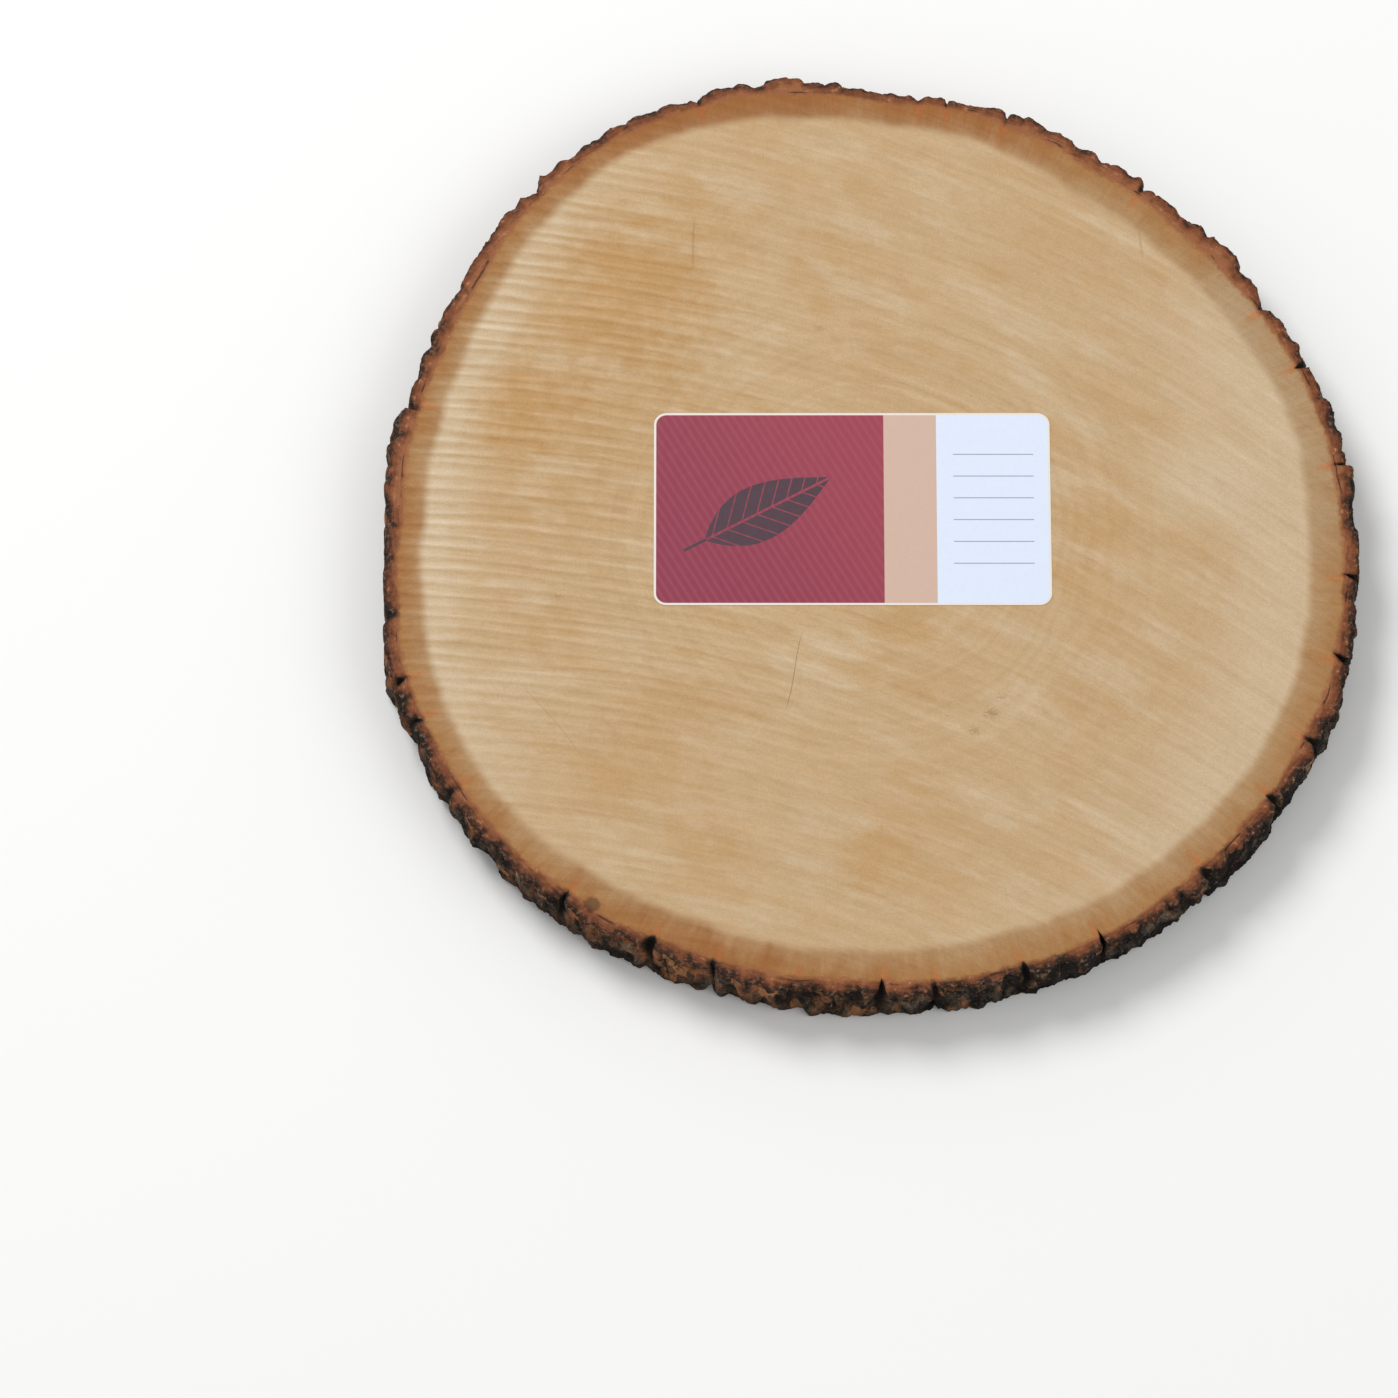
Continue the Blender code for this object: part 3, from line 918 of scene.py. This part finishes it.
def hairline_share(f, start_x, start_y, end_x, end_y, width, strength):
    """How much shows of a hairline crack between two places, fading out at its ends."""
    length = math.hypot(end_x - start_x, end_y - start_y)
    along_x = (end_x - start_x) / length
    along_y = (end_y - start_y) / length
    from_x = f.math("SUBTRACT", f.x, start_x)
    from_y = f.math("SUBTRACT", f.y, start_y)
    along = f.math("MULTIPLY_ADD", from_x, along_x, f.times(from_y, along_y))
    wander = f.times(f.math("SINE", f.times(along, 0.3)), 0.2)
    across = f.math("MULTIPLY_ADD", from_y, along_x, wander)
    across = f.math("MULTIPLY_ADD", from_x, -along_y, across)
    off_middle = f.math("ABSOLUTE", f.math("SUBTRACT", along, length / 2.0))
    line = f.ease(f.math("ABSOLUTE", across), width, width * 0.3)
    faded = f.times(line, f.ease(off_middle, length / 2.0, length * 0.25))
    return f.times(faded, strength)


def bark_material():
    """Weathered outer bark: black in its furrows, red brown on its ridges, pale flecks, with
    painted shade on its near side and towards its base.
    """
    f = Finish("weathered_bark")
    place = f.vector("SUBTRACT", f.place, tuple(PITH / MM))
    x, y, z = f.split(place)
    grey_and_shaded_side = f.times(f.ease(x, -15.0, 35.0), f.ease(y, 20.0, -50.0))
    scaly = f.reading("scaly")
    cut_in = f.reading("cut_in")
    stretched = f.vector("MULTIPLY", place, (1.0, 1.0, 0.45))
    tone = f.noise(stretched, 0.2, 4.0, 0.6)
    fine = f.noise(stretched, 1.5, 4.0, 0.7)
    redden = f.sway(z, tone, 40.0)
    colour = f.mix(f.ease(redden, 8.0, 20.0), BARK_BROWN, BARK_RED)
    greyness = f.math("MULTIPLY_ADD", grey_and_shaded_side, 0.13, f.noise(place, 0.15, 3.0, 0.5, 0.8))
    colour = f.mix(f.ease(greyness, 0.52, 0.64, 0.0, 0.85), colour, BARK_GREY)
    high = f.sway(scaly, fine, 1.2)
    high = f.sway(high, tone, 3.6)
    # Painted shade: more black on the wall's right front side, and where the inner bark's warmth
    # reading is low, at the right and near sides
    high = f.math("MULTIPLY_ADD", grey_and_shaded_side, -0.15, high)
    high = f.math("MULTIPLY_ADD", f.math("SUBTRACT", f.reading("warmth"), 0.45), 0.8, high)
    colour = f.mix(f.ease(high, 0.9, -0.5), colour, CHAR)
    fleck = f.times(f.ease(fine, 0.57, 0.68), f.ease(f.noise(place, 0.3, 2.0), 0.48, 0.62))
    colour = f.mix(f.times(fleck, 0.45), colour, BARK_FLECK)
    crooked = f.vector("ADD", stretched, f.join(fine, tone, fine))
    chance, _, _ = f.split(f.cells(crooked, 0.3, output="Color"))
    chip = f.times(f.ease(chance, 0.84, 0.9), f.ease(high, -0.5, 0.3, 0.0, 0.75))
    chip = f.times(chip, f.math("MULTIPLY_ADD", grey_and_shaded_side, -0.6, 1.0))
    colour = f.mix(chip, colour, BARK_CHIP)
    colour = f.mix(f.ease(cut_in, 0.3, 1.6), colour, CHAR)
    # Painted shade: the wall darker towards its base and lighter towards its top
    from_base = f.sway(z, tone, 14.0)
    colour = f.brighten(colour, f.ease(from_base, 0.0, 13.0, 0.66, 1.15))
    colour = f.brighten(colour, f.sway(0.95, fine, 1.3))
    normal = f.bump(f.noise(place, 1.8, 5.0, 0.7), 0.5)
    return f.finish(colour, roughness=0.82, normal=normal, Specular_IOR_Level=0.12)


# The label's print, in mm from its middle
LABEL_CORNER_MM = 3.0
LABEL_CORNER_SEGMENTS = 12
LABEL_MARGIN_MM = 0.55
CRIMSON_END_MM = 7.5
PEACH_END_MM = 20.0
LEAF_MIDDLE_MM = (-20.0, 0.0)
LEAF_TURN_DEG = 28.0
LEAF_HALF_LENGTH_MM = 17.0
LEAF_HALF_WIDTH_MM = 6.8
STEM_PAST_LEAF_MM = 2.5
VEIN_PITCH_MM = 4.0
PINSTRIPE_MM = 2.1
RULE_PITCH_MM = 5.5
RULES_MIDDLE_MM = 33.5
EDGE_BLUR_MM = 0.05
CRIMSON = paint(138, 40, 67)
CRIMSON_LIGHT = paint(154, 54, 74)
CRIMSON_BRIGHT = paint(176, 84, 98)
LEAF_INK = paint(72, 46, 58)
PEACH = paint(209, 178, 160)
LABEL_WHITE = paint(222, 232, 250)
RULE_GREY = paint(150, 156, 172)
PAPER_EDGE = paint(232, 226, 218)


def leaf_share(f, x, y):
    """How much leaf there is: a blade without its rib and veins, and a stem."""
    turn = math.radians(LEAF_TURN_DEG)
    leaf_x = f.math("SUBTRACT", x, LEAF_MIDDLE_MM[0])
    leaf_y = f.math("SUBTRACT", y, LEAF_MIDDLE_MM[1])
    along = f.math("MULTIPLY_ADD", leaf_x, math.cos(turn), f.times(leaf_y, math.sin(turn)))
    across = f.math("MULTIPLY_ADD", leaf_x, -math.sin(turn), f.times(leaf_y, math.cos(turn)))
    share = f.math("DIVIDE", along, LEAF_HALF_LENGTH_MM)
    taper = f.math("SUBTRACT", 1.0, f.times(share, share))
    lean = f.math("MULTIPLY_ADD", share, -0.35, 1.0)
    width = f.times(f.times(taper, lean), LEAF_HALF_WIDTH_MM)
    off_rib = f.math("ABSOLUTE", across)
    blade = f.ease(f.math("SUBTRACT", width, off_rib), -0.1, 0.1)
    off_stem = f.math("ADD", along, LEAF_HALF_LENGTH_MM + STEM_PAST_LEAF_MM)
    stem = f.times(f.ease(f.math("ABSOLUTE", off_stem), 3.1, 2.9), f.ease(off_rib, 0.42, 0.28))
    vein_turn = f.math("MULTIPLY_ADD", off_rib, -0.9, along)
    vein_turn = f.times(vein_turn, 2.0 * math.pi / VEIN_PITCH_MM)
    veins = f.ease(f.math("SINE", vein_turn), 0.93, 0.985)
    rib = f.math("MAXIMUM", f.ease(off_rib, 0.36, 0.22), veins)
    return f.math("MAXIMUM", f.times(blade, f.math("SUBTRACT", 1.0, rib)), stem)


def ruled_field(f, x, y):
    """White paper with grey rules that stop short of its edges."""
    row = f.math("PINGPONG", f.math("ADD", y, RULE_PITCH_MM / 2.0), RULE_PITCH_MM / 2.0)
    rule = f.times(f.ease(row, 0.16, 0.08), f.ease(f.math("ABSOLUTE", y), 16.0, 15.8))
    off_middle = f.math("ABSOLUTE", f.math("SUBTRACT", x, RULES_MIDDLE_MM))
    rule = f.times(rule, f.ease(off_middle, 9.6, 9.4))
    return f.mix(rule, LABEL_WHITE, RULE_GREY)


def past_edge(f, value, edge):
    """0 before an edge of the print and 1 past it."""
    return f.ease(value, edge - EDGE_BLUR_MM, edge + EDGE_BLUR_MM)


def label_material():
    """A printed sticker: crimson with a plain leaf, a peach band and a ruled white field."""
    f = Finish("printed_label")
    x, y, _ = f.split(f.vector("SUBTRACT", f.place, tuple(LABEL_MIDDLE / MM)))
    grain = f.noise(f.place, 1.2, 2.0)
    half_x = (LABEL_HIGH.x - LABEL_LOW.x) / 2.0 / MM - LABEL_CORNER_MM
    half_y = (LABEL_HIGH.y - LABEL_LOW.y) / 2.0 / MM - LABEL_CORNER_MM
    over_x = f.math("MAXIMUM", f.math("SUBTRACT", f.math("ABSOLUTE", x), half_x), 0.0)
    over_y = f.math("MAXIMUM", f.math("SUBTRACT", f.math("ABSOLUTE", y), half_y), 0.0)
    from_corner = f.vector("LENGTH", f.join(over_x, over_y))
    slope = f.times(f.math("ADD", x, f.times(y, 0.6)), 2.0 * math.pi / PINSTRIPE_MM)
    stripe = f.ease(f.math("SINE", slope), -0.2, 0.9, 0.0, 0.22)
    lighter = f.ease(f.math("MULTIPLY_ADD", y, 0.7, x), -55.0, 20.0)
    colour = f.mix(lighter, CRIMSON, CRIMSON_LIGHT)
    colour = f.mix(stripe, colour, CRIMSON_BRIGHT)
    colour = f.mix(leaf_share(f, x, y), colour, LEAF_INK)
    colour = f.mix(past_edge(f, x, CRIMSON_END_MM), colour, PEACH)
    colour = f.mix(past_edge(f, x, PEACH_END_MM), colour, ruled_field(f, x, y))
    margin = past_edge(f, from_corner, LABEL_CORNER_MM - LABEL_MARGIN_MM)
    colour = f.mix(margin, colour, PAPER_EDGE)
    colour = f.brighten(colour, f.sway(1.0, grain, 0.06))
    normal = f.bump(f.noise(f.place, 0.35, 2.0), 0.05)
    return f.finish(colour, roughness=0.38, normal=normal, Specular_IOR_Level=0.5)


# The label's sheet
LABEL_LIFT_MM = 0.02
LABEL_PAPER_MM = 0.14


def build_label():
    """A thin sheet with rounded corners, on the crests of the saw marks."""
    clear_selection()
    size = LABEL_HIGH - LABEL_LOW
    middle_z = THICKNESS + (LABEL_LIFT_MM + LABEL_PAPER_MM / 2.0) * MM
    bpy.ops.mesh.primitive_cube_add(
        size=1.0, location=(LABEL_MIDDLE.x, LABEL_MIDDLE.y, middle_z)
    )
    piece = bpy.context.object
    piece.name = "paper_label"
    piece.scale = (size.x, size.y, LABEL_PAPER_MM * MM)
    bpy.ops.object.transform_apply(location=True, rotation=True, scale=True)
    bpy.ops.object.mode_set(mode="EDIT")
    bpy.ops.mesh.select_mode(type="EDGE")
    bpy.ops.mesh.select_all(action="DESELECT")
    shape = bmesh.from_edit_mesh(piece.data)
    for edge in shape.edges:
        edge.select_set(abs(edge.verts[0].co.z - edge.verts[1].co.z) > LABEL_PAPER_MM * MM / 2.0)
    bpy.ops.mesh.bevel(
        offset=LABEL_CORNER_MM * MM, segments=LABEL_CORNER_SEGMENTS, affect="EDGES"
    )
    bpy.ops.object.mode_set(mode="OBJECT")
    piece.data.materials.append(label_material())
    settle(piece, "label")
    bpy.ops.object.shade_smooth_by_angle(angle=math.radians(LABEL_SMOOTH_DEG))


# The studio
FLOOR_SIZE = 6.0
FLOOR_GAP_MM = 0.1
FLOOR_WHITE = paint(248, 248, 247)
SURROUND_STRENGTH = 0.52


def build_floor():
    """A plain pale floor just under the slice."""
    clear_selection()
    bpy.ops.mesh.primitive_plane_add(size=FLOOR_SIZE, location=(0.0, 0.0, -FLOOR_GAP_MM * MM))
    floor = bpy.context.object
    floor.name = "floor"
    f = Finish("pale_floor")
    material = f.finish(FLOOR_WHITE, roughness=0.7, Specular_IOR_Level=0.2)
    floor.data.materials.append(material)


def aim(item, target):
    """Turn a lamp or a camera, which look down their own -Z, towards a point."""
    item.rotation_euler = (Vector(target) - item.location).to_track_quat("-Z", "Y").to_euler()


def add_softbox(name, place, size, power, target):
    """A soft round lamp that points at the target."""
    lamp = bpy.data.lights.new(name, "AREA")
    lamp.shape = "DISK"
    lamp.size = size
    lamp.energy = power
    item = bpy.data.objects.new(name, lamp)
    item.location = place
    bpy.context.scene.collection.objects.link(item)
    aim(item, target)


def light_studio():
    """A large soft key from the upper left, a weak fill and an even pale surround."""
    middle = (PITH.x, PITH.y, 0.0)
    add_softbox("key", place=(-0.9, 1.0, 1.6), size=1.0, power=24.0, target=middle)
    add_softbox("fill", place=(1.3, -0.6, 1.5), size=1.4, power=7.0, target=middle)
    world = bpy.data.worlds.new("surround")
    world.use_nodes = True
    background = world.node_tree.nodes["Background"]
    background.inputs["Color"].default_value = (1.0, 1.0, 1.0, 1.0)
    background.inputs["Strength"].default_value = SURROUND_STRENGTH
    bpy.context.scene.world = world


def place_camera():
    """A long lens from the front and high above, with the slice up and to the right."""
    target = PITH + Vector((AIM_FROM_PITH_MM[0] * MM, AIM_FROM_PITH_MM[1] * MM, THICKNESS))
    elevation = math.radians(CAMERA_ELEVATION_DEG)
    camera = bpy.data.cameras.new("camera")
    camera.sensor_width = SENSOR_MM
    camera.lens = SENSOR_MM * CAMERA_DISTANCE / MM * PIXELS_PER_MM / PHOTO_PIXELS
    camera.clip_end = CAMERA_REACH
    item = bpy.data.objects.new("camera", camera)
    backwards = Vector((0.0, -math.cos(elevation), math.sin(elevation)))
    item.location = target + CAMERA_DISTANCE * backwards
    bpy.context.scene.collection.objects.link(item)
    aim(item, target)
    bpy.context.scene.camera = item


place_camera()
light_studio()
build_floor()
build_slice()
build_label()
bpy.context.scene.view_settings.view_transform = "Standard"
